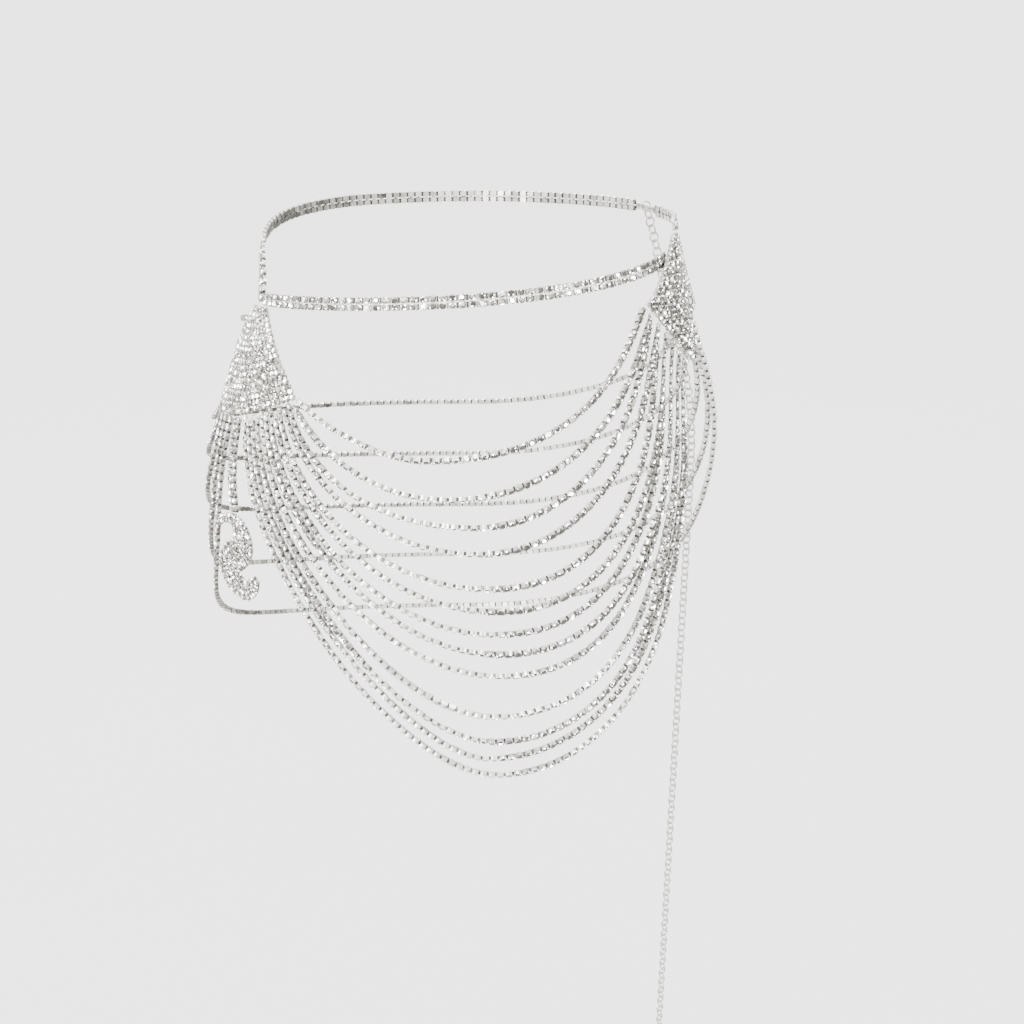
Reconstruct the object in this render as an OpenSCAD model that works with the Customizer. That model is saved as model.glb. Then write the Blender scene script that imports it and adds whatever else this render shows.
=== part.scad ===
// Draped rhinestone waist chain: a belt of cup chain with a pave fan at each hip,
// thirteen swags across the front, five round the back, a scroll drop at one hip,
// a free tail at the other and a long extension chain behind it.
// Everything lies on one worn form. A place on it is [angle, height, lift]:
// angle round the upright axis from the front, height above the belt line, lift off the form.

/* [Worn form] */
// Half width of the form at its widest level
hip_half_w = 157; // [146:0.5:170]
// How much the form narrows above that level, on each side
waist_take_in = 55.5; // [48:0.5:62]
// Depth of the form as a share of its width
depth_share = 0.76; // [0.7:0.01:0.84]
// Drop from the belt line to the widest level
hip_drop = 170; // [158:1:182]
// Height over which the form flares
flare_h = 149.5; // [138:0.5:160]
// Turn of the form about the upright axis, in degrees
form_turn = 2; // [-10:1:15]
// Sideways shift of the form at the hips
hip_shift = 3.5; // [0:0.5:8]

/* [Cup chain] */
// Diameter that one strand of cup chain fills
strand_d = 2.2; // [1.6:0.1:2.2]
// Width of one row of cups, across the chain
row_w = 3.6; // [3:0.1:4.2]
// Thickness of a band of cups, back to stone
band_t = 2.4; // [1.8:0.1:2.8]
// Length of strand between two rings of its tube
ring_step = 10.5; // [9:0.5:16]

/* [Swags] */
// Drop from the belt line to the lowest front swag
skirt_drop = 260; // [235:1:275]
// How far every other strand lies above its neighbours where they crowd
layer_lift = 2.6; // [2.4:0.1:3.2]
// Gap between a strand's end and the fan that carries it
seat = 0.9; // [0.8:0.1:1]

/* [Belt] */
// Height of the belt at the left hip
belt_left_z = -5.2; // [-8:0.1:-4]
// Height of the belt at the right hip
belt_right_z = 16.6; // [13:0.1:19]
// How evenly the front belt climbs: 1 is a straight slope, 0 climbs late
belt_evenness = 0.48; // [0.3:0.01:1]
// Height of the belt at the back
belt_back_z = 44; // [38:0.5:50]

/* [Hip fans] */
// Thickness of a fan
fan_t = 2.6; // [2.4:0.1:4]
// Thickness of the right fan's lower edge, where the strands lie in two layers
crowd_t = 5.2; // [4.8:0.1:6.5]

/* [Scroll drop] */
// Thickness of the scroll
scroll_t = 2.2; // [1.6:0.1:3]
// Height of the scroll
scroll_h = 50; // [44:0.5:56]
// Length of the free tail at the right hip
tail_len = 17; // [12:0.5:24]
// Length of the stub at the left hip
stub_len = 12; // [8:0.5:16]

/* [Closure and extension chain] */
// Wire of the jump rings
ring_wire = 0.8; // [0.6:0.05:1]
// Radius of a jump ring to the middle of its wire
ring_r = 2.3; // [2.2:0.05:2.6]
// Thickness of the clasp and of the end tabs
tab_t = 1; // [0.7:0.1:1.2]
// Width of the clasp
clasp_w = 3.8; // [3.4:0.1:4]
// Wire of a link of the extension chain
link_wire = 0.9; // [0.7:0.05:1]
// Play between two linked links
link_play = 0.2; // [0.15:0.01:0.4]
// Radius of a link to the middle of its wire
link_r = 2.9; // [2.7:0.05:3.3]
// Depth of the chain's free end below the belt line
chain_drop = 606; // [480:2:620]

/* [Hidden] */
strand_lift = 2;
band_w = 2 * row_w + 0.2;
hole_r = 0.85;
tab_reach = 2.2;
tube_sides = 8;
// Steps of a curve before it is measured off along its length
curve_steps = 24;
// Front swags, top one first: [lowest height as a share of the skirt's drop,
// angle of the lowest point, reach of the belly to the left, and to the right]
FRONT = [
    [0.293, -8, 0.34, 0.52],
    [0.367, -2, 0.52, 0.50],
    [0.422, 6, 0.68, 0.48],
    [0.476, 7, 0.58, 0.56],
    [0.550, 11, 0.62, 0.68],
    [0.600, 13, 0.58, 0.74],
    [0.650, 13, 0.58, 0.80],
    [0.695, 14, 0.54, 0.86],
    [0.745, 15, 0.56, 0.86],
    [0.843, 12, 0.44, 0.94],
    [0.908, 12, 0.40, 0.98],
    [0.953, 10, 0.32, 1.02],
    [1.000, 13, 0.38, 1.06],
];
// Back swags, top one first: [lowest height as a share of the drop, angle, belly]
BACK = [
    [0.38, -177, 0.60],
    [0.53, -177, 0.70],
    [0.68, -176, 0.80],
    [0.83, -176, 0.90],
    [0.98, -176, 0.92],
];
// Lower edge of each fan, front corner first: [angle, height as a share of the drop]
EDGE_LEFT = [
    [-43.5, -0.196], [-51.5, -0.221], [-59.5, -0.247], [-65.5, -0.256], [-70, -0.259], [-74, -0.253],
];
EDGE_RIGHT = [
    [55.5, -0.018], [61.5, -0.083], [67.5, -0.146], [71, -0.066], [81, -0.05], [93, -0.042],
    [107, -0.025],
];
// Upper edge of each fan, front corner and rear corner: [angle, height]
TOP_LEFT = [[-63.5, -9.3], [-70, -9.3]];
TOP_RIGHT = [[72.5, 27.5], [80.5, 28.3]];
// Middle line of the scroll: [x and y as shares of its height, half width in rows of cups]
SCROLL = [
    [-0.40, 0.18, 0.55], [-0.34, 0.30, 0.7], [-0.20, 0.39, 0.8], [-0.02, 0.42, 0.9],
    [0.10, 0.36, 1.8], [0.17, 0.25, 2.5], [0.17, 0.12, 2.6], [0.04, 0.01, 2.6],
    [-0.12, -0.09, 2.7], [-0.18, -0.20, 2.7], [-0.10, -0.30, 2.4], [0.04, -0.37, 2.0],
    [0.20, -0.38, 1.6], [0.33, -0.29, 1.3], [0.41, -0.18, 0.7],
];

front_names = [for (i = [1:13]) str("front_swag_", i < 10 ? "0" : "", i)];
back_names = [for (i = [1:5]) str("back_swag_0", i)];

// Small helpers
function mix(a, b, s) = a + (b - a) * s;
function smooth(s) = let (c = min(1, max(0, s))) c * c * (3 - 2 * c);
function unit(v) = v / norm(v);
function bezier(p, s) =
    pow(1 - s, 3) * p[0] + 3 * s * pow(1 - s, 2) * p[1] + 3 * s * s * (1 - s) * p[2] + pow(s, 3) * p[3];
function along(list, e) =
    let (i = min(floor(e), len(list) - 2)) mix(list[i], list[i + 1], e - i);

// The worn form
function half_w(z) =
    let (u = z + hip_drop, r = pow(abs(u) / flare_h, 4.1))
    hip_half_w - (u > 0 ? waist_take_in * r / (1 + r) : 0.0016 * u * u);
function shift(z) = -hip_shift * smooth(-z / 150);
function reach(a, w, d) = 1 / norm([sin(a) / w, cos(a) / d]);
function on_form(p) =
    let (
        w = half_w(p[1]),
        r = reach(p[0], w + p[2], depth_share * w + p[2])
    )
    [r * sin(p[0] - form_turn) + shift(p[1]), -r * cos(p[0] - form_turn), p[1]];
function form_normal(p) =
    unit(cross(
        on_form([p[0] + 0.5, p[1], p[2]]) - on_form([p[0] - 0.5, p[1], p[2]]),
        on_form([p[0], p[1] + 1, p[2]]) - on_form([p[0], p[1] - 1, p[2]])
    ));

// A route measured off in equal steps along its length
function lengths(pts) =
    [for (i = 0, s = 0; i < len(pts); i = i + 1, s = s + (i < len(pts) ? norm(pts[i] - pts[i - 1]) : 0)) s];
function table(keys, pts, k) = [for (i = [0:len(pts) - 1]) [keys[i], pts[i][k]]];
function pick(keys, pts, s) = [for (k = [0:2]) lookup(s, table(keys, pts, k))];
function even_route(route, step, trim_a, trim_b) =
    let (
        keys = lengths([for (p = route) on_form(p)]),
        run = keys[len(keys) - 1] - trim_a - trim_b,
        n = max(2, ceil(run / step))
    )
    [for (i = [0:n]) pick(keys, route, trim_a + run * i / n)];

// Sweep a section along places on the form. Section points are [across, out]
function round_section(r) = [for (i = [0:tube_sides - 1]) let (a = 360 * (i + 0.5) / tube_sides) r * [cos(a), sin(a)]];
function band_section(w, t) =
    [for (p = [[1, -0.5], [1, 0.5], [0.86, 1], [-0.86, 1], [-1, 0.5], [-1, -0.5], [-0.86, -1], [0.86, -1]])
        [p[0] * w / 2, p[1] * t / 2]];
function sweep_ring(pts, normals, i, section) =
    let (
        ahead = unit(pts[min(i + 1, len(pts) - 1)] - pts[max(i - 1, 0)]),
        side = unit(cross(normals[i], ahead)),
        out = cross(ahead, side)
    )
    [for (q = section) pts[i] + q[0] * side + q[1] * out];
module sweep(pts, normals, section) {
    m = len(section);
    n = len(pts);
    rings = [for (i = [0:n - 1]) each sweep_ring(pts, normals, i, section)];
    sides = [for (i = [0:n - 2], j = [0:m - 1])
        let (a = i * m + j, b = i * m + (j + 1) % m)
        each [[a, b + m, b], [a, a + m, b + m]]];
    caps = [[for (j = [0:m - 1]) j], [for (j = [m - 1:-1:0]) (n - 1) * m + j]];
    polyhedron(rings, concat(sides, caps));
}
module sweep_on_form(places, section) {
    sweep([for (p = places) on_form(p)], [for (p = places) form_normal(p)], section);
}

// Where strand i of n leaves a fan
function seat_left(i, n) = let (e = along(EDGE_LEFT, mix(0, 1.94, i / (n - 1)))) [e[0], e[1] * skirt_drop];
function seat_right(i, n) = let (e = along(EDGE_RIGHT, mix(0.08, 1.92, i / (n - 1)))) [e[0], e[1] * skirt_drop];
function back_seat_left(i, n) = let (e = along(EDGE_LEFT, mix(4.95, 2.95, i / (n - 1)))) [e[0], e[1] * skirt_drop];
function back_seat_right(i, n) =
    let (e = along(EDGE_RIGHT, mix(5.9, 5.3, i / (n - 1)))) [e[0] - 360, e[1] * skirt_drop];

// Half of a swag, from its lowest point up to its seat. Only the right fan needs two layers
function half_swag(low, top, belly, inset, lean_in) =
    [
        low,
        [mix(low[0], top[0], belly), low[1]],
        [mix(top[0], low[0], inset), mix(top[1], low[1], lean_in)],
        top,
    ];
function swag_route(left, right, layer) =
    concat(
        [for (i = [curve_steps:-1:1]) let (s = i / curve_steps, p = bezier(left, s)) [p[0], p[1], strand_lift]],
        [for (i = [0:curve_steps]) let (s = i / curve_steps, p = bezier(right, s)) [p[0], p[1], strand_lift + layer * s * s]]
    );
function front_route(i) =
    let (
        n = len(FRONT),
        s = i / (n - 1),
        row = FRONT[i],
        low = [row[1], -row[0] * skirt_drop],
        left = half_swag(low, seat_left(i, n), row[2], mix(0.06, 0.12, s), mix(0.16, 0.38, s)),
        right = half_swag(low, seat_right(i, n), row[3], mix(0.26, 0.32, s), mix(0.6, 0.1, s))
    )
    swag_route(left, right, i % 2 == 1 ? layer_lift : 0);
function back_route(i) =
    let (
        n = len(BACK),
        row = BACK[i],
        low = [row[1], -row[0] * skirt_drop],
        left = half_swag(low, back_seat_left(i, n), row[2], 0, mix(0.4, 0.5, i / (n - 1))),
        right = half_swag(low, back_seat_right(i, n), row[2], 0, 0.45)
    )
    swag_route(left, right, 0);

// One strand of cup chain hung as a swag
module swag(route, trim) {
    color("silver") sweep_on_form(even_route(route, ring_step, trim, trim), round_section(strand_d / 2));
}

// Belt routes
belt_front_ends = [-66, 69.5];
function belt_front_place(s) =
    [
        mix(belt_front_ends[0], belt_front_ends[1], s),
        mix(belt_left_z, belt_right_z, mix(pow(s, 5), s, belt_evenness)),
        strand_lift,
    ];
belt_start = [-68.3, TOP_LEFT[0][1] + 2];
belt_back_curves = [
    [belt_start, [-69.2, 5], [-76, belt_back_z - 8], [-132, belt_back_z - 2]],
    [[-132, belt_back_z - 2], [-172, belt_back_z + 1], [-215, belt_back_z], [-244, belt_back_z - 4]],
];
// The belt's short length between the right fan's apex and the closure: [angle, height]
side_start = [80.4, TOP_RIGHT[1][1] + 4.2];
side_end = [105.2, belt_back_z - 6.5];
function belt_back_route() =
    [for (c = [0, 1], i = [c:curve_steps]) let (p = bezier(belt_back_curves[c], i / curve_steps)) [p[0], p[1], strand_lift]];

module belt_front() {
    route = [for (i = [0:curve_steps]) belt_front_place(i / curve_steps)];
    color("silver") sweep_on_form(even_route(route, ring_step, 0, 0), band_section(band_w, band_t));
}
module belt_back() {
    color("silver") sweep_on_form(even_route(belt_back_route(), ring_step, 0, 0), band_section(band_w, band_t));
}

module belt_side() {
    route = [for (i = [0:6]) let (p = mix(side_start, side_end, i / 6)) [p[0], p[1], strand_lift]];
    color("silver") sweep_on_form(even_route(route, ring_step, 0, 0), band_section(band_w, band_t));
}

// A fan: a curved plate between a short upper edge and a long lower edge. bow curves its
// two side edges, [front, rear]. Where the belt passes below it stands clear of the belt
fan_cols = 2;
fan_rows = 6;
fan_lift = 0.7;
over_belt = strand_lift + band_t / 2 + 0.4;
function fan_place(edge, top, bow, clear, low_t, u, v, outer) =
    let (
        low = along(edge, u * (len(edge) - 1)),
        high = mix(top[0], top[1], u),
        inner = mix(clear, fan_lift, max(pow(v, 4), smooth(2.5 * (u - 0.2)))),
        thick = mix(fan_t, low_t, v * v * (1 - smooth(5 * (u - 0.36))))
    )
    [
        mix(high[0], low[0], v) - mix(bow[0], bow[1], u) * 6.75 * v * (1 - v) * (1 - v),
        mix(high[1], low[1] * skirt_drop, v),
        inner + (outer ? thick : 0),
    ];
module fan(edge, top, bow, clear, low_t) {
    nu = (len(edge) - 1) * fan_cols;
    nv = fan_rows;
    w = nu + 1;
    half = w * (nv + 1);
    pts = [for (outer = [true, false], j = [0:nv], i = [0:nu]) 
        on_form(fan_place(edge, top, bow, clear, low_t, i / nu, j / nv, outer))];
    faces = [for (j = [0:nv - 1], i = [0:nu - 1])
        let (a = j * w + i, b = a + 1, c = a + w, d = c + 1)
        each [[a, b, c], [b, d, c], [half + a, half + c, half + b], [half + b, half + c, half + d]]];
    rim = concat(
        [for (i = [0:nu - 1]) i],
        [for (j = [0:nv - 1]) j * w + nu],
        [for (i = [nu:-1:1]) nv * w + i],
        [for (j = [nv:-1:1]) j * w]
    );
    walls = [for (k = [0:len(rim) - 1])
        let (a = rim[k], b = rim[(k + 1) % len(rim)])
        each [[a, half + a, b], [b, half + a, half + b]]];
    all = concat(faces, walls);
    forward = edge[0][0] < edge[len(edge) - 1][0];
    color("whitesmoke") polyhedron(pts, forward ? all : [for (f = all) [f[2], f[1], f[0]]]);
}
left_bow = [0.2, 5];
module hip_fan_left() {
    fan(EDGE_LEFT, TOP_LEFT, left_bow, fan_lift, fan_t);
}
module hip_fan_right() {
    fan(EDGE_RIGHT, TOP_RIGHT, [0, 0], over_belt, crowd_t);
}

// Bands that hang free: the one that carries the scroll, the tail and the stub
scroll_place = [-59, -0.55 * skirt_drop, strand_lift + 0.3];
drop_seat = along(EDGE_LEFT, 2.45);
drop_top = [drop_seat[0], drop_seat[1] * skirt_drop - seat - 0.2, strand_lift];
drop_end = [scroll_place[0] - 0.1, scroll_place[1] + scroll_h * 0.5 + 0.4, strand_lift];
module drop_band_left() {
    middle = [mix(drop_top[0], drop_end[0], 0.4), mix(drop_top[1], drop_end[1], 0.5), strand_lift];
    route = [for (i = [0:curve_steps]) let (s = i / curve_steps)
        mix(mix(drop_top, middle, s), mix(middle, drop_end, s), s)];
    color("silver") sweep_on_form(even_route(route, ring_step, 0, 0), band_section(band_w, band_t));
}
tail_seat = along(EDGE_RIGHT, 3.4);
tail_top = [tail_seat[0] - 1.2, tail_seat[1] * skirt_drop - seat - 1.4, strand_lift];
module tail_band_right() {
    route = [for (i = [0:6]) [tail_top[0] - 1.9 * i / 6, tail_top[1] - tail_len * i / 6, strand_lift + 0.6 * i / 6]];
    color("silver") sweep_on_form(route, band_section(band_w, band_t));
}
stub_top = fan_place(EDGE_LEFT, TOP_LEFT, left_bow, fan_lift, fan_t, 1, 0.14, false);
module stub_left() {
    degree_len = reach(stub_top[0], half_w(stub_top[1]), depth_share * half_w(stub_top[1])) * PI / 180;
    route = [for (i = [0:4]) [
        stub_top[0] - (2.3 + stub_len * i / 4) / degree_len,
        stub_top[1] - 2 * i / 4,
        fan_lift + fan_t / 2 + 2 * i / 4,
    ]];
    color("silver") sweep_on_form(route, band_section(row_w, band_t));
}

// Lay children so that their x runs along d and their z points along n
module place(o, d, n) {
    az = atan2(d[1], d[0]);
    el = asin(d[2] / norm(d));
    y1 = [-sin(az), cos(az), 0];
    z1 = [-cos(az) * sin(el), -sin(az) * sin(el), cos(el)];
    translate(o) rotate([0, 0, az]) rotate([0, -el, 0]) rotate([atan2(-(n * y1), n * z1), 0, 0]) children();
}

// The scroll: a flat plate whose outline runs at a varying width each side of one curve
function spline(list, e) =
    let (
        i = min(floor(e), len(list) - 2),
        s = e - i,
        a = list[max(i - 1, 0)], b = list[i], c = list[i + 1], d = list[min(i + 2, len(list) - 1)]
    )
    0.5 * (2 * b + (c - a) * s + (2 * a - 5 * b + 4 * c - d) * s * s + (3 * b - a - 3 * c + d) * s * s * s);
scroll_steps = 4 * (len(SCROLL) - 1);
function scroll_mid(e) = let (p = spline(SCROLL, e)) [p[0] * scroll_h, p[1] * scroll_h];
function scroll_side(e, hand) =
    let (
        last = len(SCROLL) - 1,
        d = unit(scroll_mid(min(e + 0.1, last)) - scroll_mid(max(e - 0.1, 0))),
        w = spline(SCROLL, e)[2] * row_w
    )
    scroll_mid(e) + hand * w * [-d[1], d[0]];
module scroll_outline() {
    top = len(SCROLL) - 1;
    for (i = [1:scroll_steps])
        hull() polygon([for (p = [[i - 1, 1], [i, 1], [i, -1], [i - 1, -1]])
            scroll_side(top * p[0] / scroll_steps, p[1])]);
}
module scroll_drop() {
    n = form_normal(scroll_place);
    across = unit(cross([0, 0, 1], n));
    color("whitesmoke") place(on_form(scroll_place), across, n)
        translate([0, 0, -scroll_t / 2]) linear_extrude(scroll_t) scroll_outline();
}

// The closure lies on a straight line between the two ends of the belt
closure_lift = 2.4;
belt_tail = belt_back_curves[1][3];
closure_a = on_form([belt_tail[0] - 0.5, belt_tail[1], closure_lift]);
closure_b = on_form([side_end[0] + 0.5, side_end[1] + 0.1, closure_lift]);
closure_d = unit(closure_b - closure_a);
closure_out = form_normal([mix(side_end[0], belt_tail[0] + 360, 0.5), belt_tail[1], closure_lift]);
closure_side = unit(cross(closure_out, closure_d));
closure_n = cross(closure_d, closure_side);
closure_len = norm(closure_b - closure_a);
clasp_eyes = closure_len - 2 * tab_reach - 4 * ring_r;
function closure_at(s) = closure_a + s * closure_d;

module end_tab(o, d) {
    color("whitesmoke") place(o, d, closure_n) translate([0, 0, -tab_t / 2]) difference() {
        union() {
            translate([0, -clasp_w / 2, 0]) cube([tab_reach, clasp_w, tab_t]);
            translate([tab_reach, 0, 0]) cylinder(r = clasp_w / 2, h = tab_t, $fn = 32);
        }
        translate([tab_reach, 0, -1]) cylinder(r = hole_r, h = tab_t + 2, $fn = 24);
    }
}
module belt_end_tab() {
    end_tab(closure_a, closure_d);
}
module side_end_tab() {
    end_tab(closure_b, -closure_d);
}
module jump_ring(s) {
    color("silver") place(closure_at(s), closure_d, closure_side)
        rotate_extrude($fn = 36) translate([ring_r, 0]) circle(r = ring_wire / 2, $fn = 16);
}
module clasp_ring_belt() {
    jump_ring(tab_reach + ring_r);
}
module clasp_ring_side() {
    jump_ring(closure_len - tab_reach - ring_r);
}
module clasp() {
    color("whitesmoke") place(closure_at(tab_reach + 2 * ring_r), closure_d, closure_n)
        translate([0, 0, -tab_t / 2]) difference() {
            union() {
                translate([0, -clasp_w / 2, 0]) cube([clasp_eyes, clasp_w, tab_t]);
                for (x = [0, clasp_eyes]) translate([x, 0, 0]) cylinder(r = clasp_w / 2, h = tab_t, $fn = 32);
            }
            for (x = [0, clasp_eyes]) translate([x, 0, -1]) cylinder(r = hole_r, h = tab_t + 2, $fn = 24);
        }
}

// The extension chain hangs from the closure's first ring, lies over the hip and then hangs plumb.
// Its route: [angle, height as a share of the hip's drop, lift]
CHAIN = [
    [112.8, 0.1, 8], [112.8, -0.05, 7.6], [112.7, -0.2, 7.2], [112.6, -0.45, 7.2], [112.5, -0.75, 7.2],
    [112.5, -0.93, 7.2],
];
ring_low = closure_at(tab_reach + ring_r) + ring_r * closure_n;
chain_pitch = 2 * link_r - link_wire - link_play;
first_link = ring_low + 0.6 * link_r * closure_n - [0, 0, 0.28 * link_r];
chain_last = len(CHAIN) - 1;
function chain_bend(e) =
    let (p = spline(CHAIN, e)) on_form([p[0], p[1] * hip_drop, p[2]]);
chain_route = concat(
    [first_link],
    [for (i = [0:20]) chain_bend(chain_last * i / 20)],
    [[chain_bend(chain_last)[0], chain_bend(chain_last)[1], -chain_drop]]
);
module extension_chain() {
    keys = lengths(chain_route);
    n = floor(keys[len(keys) - 1] / chain_pitch);
    side = [for (i = [0:n]) pick(keys, chain_route, i * chain_pitch)];
    for (i = [0:n]) {
        d = unit(side[min(i + 1, n)] - side[max(i - 1, 0)]);
        out = unit(cross(cross(d, closure_n), d));
        across = cross(d, out);
        color("silver") place(side[i], d, i % 2 == 0 ? across : out)
            rotate_extrude($fn = 30) translate([link_r, 0]) circle(r = link_wire / 2, $fn = 14);
    }
}

belt_front();
belt_back();
belt_side();
hip_fan_left();
hip_fan_right();
for (i = [0:12]) swag(front_route(i), seat);
for (i = [0:4]) swag(back_route(i), seat + 0.3);
drop_band_left();
scroll_drop();
stub_left();
tail_band_right();
belt_end_tab();
side_end_tab();
clasp();
clasp_ring_belt();
clasp_ring_side();
extension_chain();
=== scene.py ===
"""Looks of a draped rhinestone waist chain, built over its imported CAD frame.

Every strand of cup chain is made of separate cups with cut stones, laid along the same
routes as the frame's solids. Lengths are millimetres, apart from the studio's, which are
metres, and angles are degrees. A mesh is turned into metres when it is finished.
"""

import logging
import math
from collections.abc import Callable
from dataclasses import dataclass, field
from enum import Enum
from functools import cache

import bmesh
import bpy
import numpy as np
from bmesh.types import BMesh, BMFace, BMVert
from bpy.types import Material, Node, NodeTree, Object
from mathutils import Matrix, Vector
from numpy import ndarray as Array
from numpy.random import Generator


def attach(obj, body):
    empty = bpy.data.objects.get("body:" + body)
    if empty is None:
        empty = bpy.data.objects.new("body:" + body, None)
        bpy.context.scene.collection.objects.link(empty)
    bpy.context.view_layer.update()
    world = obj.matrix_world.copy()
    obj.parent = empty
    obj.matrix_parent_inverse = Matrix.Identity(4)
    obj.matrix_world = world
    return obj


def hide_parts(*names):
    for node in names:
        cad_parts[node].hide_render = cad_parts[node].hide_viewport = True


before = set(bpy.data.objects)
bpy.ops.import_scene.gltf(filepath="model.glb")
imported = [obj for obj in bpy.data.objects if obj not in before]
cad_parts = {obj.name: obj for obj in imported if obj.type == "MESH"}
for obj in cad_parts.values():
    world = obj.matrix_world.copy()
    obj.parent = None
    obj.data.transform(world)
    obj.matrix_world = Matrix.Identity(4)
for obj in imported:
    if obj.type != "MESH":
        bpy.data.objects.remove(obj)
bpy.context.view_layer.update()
LOG = logging.getLogger("waist_chain")
MM = 0.001
BODY = "root"

# Measures that several pieces share
PITCH = 4.85  # from one cup to the next
ROW_W = 3.6  # from one row of a band to the next
DROP = 260.0  # from the belt line to the lowest front swag
LIFT = 2.0  # from the form to a strand's middle
SEAT = 0.9  # gap between a strand's end and its fan
BOW_SCALE = 27 / 4  # makes v (1 - v)^2 peak at one
REACH = 0.6  # how far before and after a spot its direction is taken

Table = tuple[tuple[float, ...], ...]
Pair = tuple[float, float]
Triple = tuple[float, float, float]


class Hip(Enum):
    """The two hips, as the picture shows them."""

    LEFT = "left"
    RIGHT = "right"


class Surface(Enum):
    """What a face of a made piece is."""

    METAL = 0
    STONE = 1


class PaintedShade(Enum):
    """How much painted shade a metal face gets, darkest in the gaps between cups and stones."""

    OPEN = 0.0
    BACK = 0.1
    RIM = 0.3
    EDGE = 0.5
    PAVE_RIM = 0.7
    BAR = 0.8
    HIDDEN = 1.0


# Numbers and curves shared with the frame


def mix(a: float, b: float, s: float) -> float:
    """Value between a and b at the share s."""
    return a + (b - a) * s


def smooth(s: Array | float) -> Array | float:
    """Smooth step from 0 to 1."""
    c = np.clip(s, 0.0, 1.0)
    return c * c * (3 - 2 * c)


def unit(v: Array) -> Array:
    """Vectors scaled to length one."""
    return v / np.linalg.norm(v, axis=-1, keepdims=True)


def bezier(points: list[list[float]], count: int) -> Array:
    """Points of a cubic curve.

    Args:
        points: The four control points.
        count: How many points to return.

    Returns:
        The points from the first control point to the last.
    """
    a, b, c, d = np.asarray(points, float)
    s = np.linspace(0, 1, count)[:, None]
    return (1 - s) ** 3 * a + 3 * s * (1 - s) ** 2 * b + 3 * s * s * (1 - s) * c + s**3 * d


def along(table: Table, e: float) -> Array:
    """Place between two neighbouring rows of a table, at the row number e."""
    i = min(int(math.floor(e)), len(table) - 2)
    return mix(np.asarray(table[i], float), np.asarray(table[i + 1], float), e - i)


@dataclass(frozen=True)
class WornForm:
    """The rounded form that the chain is worn on."""

    hip_half_w: float = 157.0
    waist_take_in: float = 55.5
    depth_share: float = 0.76
    hip_drop: float = 170.0
    flare_h: float = 149.5
    flare_power: float = 4.1
    thigh_taper: float = 0.0016
    turn: float = 2.0
    hip_shift: float = 3.5
    shift_h: float = 150.0

    def half_width(self, z: Array) -> Array:
        """Half width of the form at the heights z."""
        u = z + self.hip_drop
        r = (np.abs(u) / self.flare_h) ** self.flare_power
        waist = self.waist_take_in * r / (1 + r)
        return self.hip_half_w - np.where(u > 0, waist, self.thigh_taper * u * u)

    def points(self, places: Array) -> Array:
        """Turns places into points.

        Args:
            places: Rows of angle from the front, height and lift off the form.

        Returns:
            Rows of x, y, z.
        """
        places = np.asarray(places, float)
        a, z, lift = np.radians(places[..., 0]), places[..., 1], places[..., 2]
        w = self.half_width(z)
        r = 1 / np.hypot(np.sin(a) / (w + lift), np.cos(a) / (self.depth_share * w + lift))
        b = a - math.radians(self.turn)
        x = r * np.sin(b) - self.hip_shift * smooth(-z / self.shift_h)
        return np.stack([x, -r * np.cos(b), z], -1)

    def normals(self, places: Array) -> Array:
        """Outward directions of the form at the places."""
        places = np.asarray(places, float)
        da, dz = np.array([0.5, 0, 0]), np.array([0, 1.0, 0])
        around = self.points(places + da) - self.points(places - da)
        up = self.points(places + dz) - self.points(places - dz)
        return unit(np.cross(around, up))


FORM = WornForm()


@dataclass(frozen=True)
class Spots:
    """Where copies of a shape go: origins, and the directions of its x, y and z."""

    origin: Array
    ahead: Array
    side: Array
    out: Array

    def shifted(self, side: float) -> "Spots":
        """The same spots moved across."""
        return Spots(self.origin + side * self.side, self.ahead, self.side, self.out)

    def rolled(self, degrees: Array) -> "Spots":
        """The same spots, each rolled about its ahead so that it faces away from its side."""
        a = np.radians(degrees)[:, None]
        out = self.out * np.cos(a) - self.side * np.sin(a)
        side = self.side * np.cos(a) + self.out * np.sin(a)
        return Spots(self.origin, self.ahead, side, out)

    def part(self, which: slice) -> "Spots":
        """Some of the spots."""
        return Spots(self.origin[which], self.ahead[which], self.side[which], self.out[which])

    def narrowed(self, share: Array) -> "Spots":
        """The same spots, each copy made narrower and flatter by its share."""
        return Spots(self.origin, self.ahead, self.side * share[:, None], self.out * share[:, None])

    def shaken(self, rng: Generator, degrees: float) -> "Spots":
        """The same spots, each tilted a little at random, as soldered cups are."""
        n = len(self.origin)
        tilt = np.radians(rng.normal(0, degrees, (n, 2, 1)))
        out = unit(self.out + tilt[:, 0] * self.side + tilt[:, 1] * self.ahead)
        side = unit(np.cross(out, self.ahead))
        return Spots(self.origin, np.cross(side, out), side, out)


@dataclass
class Route:
    """A line over the form, given as places, and measured along its length."""

    places: Array
    keys: Array = field(init=False)

    def __post_init__(self) -> None:
        """Measures the line."""
        points = FORM.points(self.places)
        steps = np.linalg.norm(np.diff(points, axis=0), axis=1)
        self.keys = np.concatenate([[0.0], np.cumsum(steps)])

    @property
    def length(self) -> float:
        """Length of the line."""
        return float(self.keys[-1])

    def place(self, s: Array) -> Array:
        """Places at the distances s along the line."""
        return np.stack([np.interp(s, self.keys, self.places[:, k]) for k in range(3)], -1)

    def spots(self, s: Array) -> Spots:
        """Spots at the distances s, facing away from the form.

        Args:
            s: Distances along the line.

        Returns:
            One spot for each distance.
        """
        middle = FORM.points(self.place(s))
        ahead = unit(FORM.points(self.place(s + REACH)) - FORM.points(self.place(s - REACH)))
        normal = FORM.normals(self.place(s))
        side = unit(np.cross(normal, ahead))
        return Spots(middle, ahead, side, np.cross(ahead, side))

    def even(self, pitch: float) -> Array:
        """Distances of cups about a pitch apart that fill the line."""
        n = max(1, round(self.length / pitch))
        return (np.arange(n) + 0.5) * self.length / n


# Shapes and pieces


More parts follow.
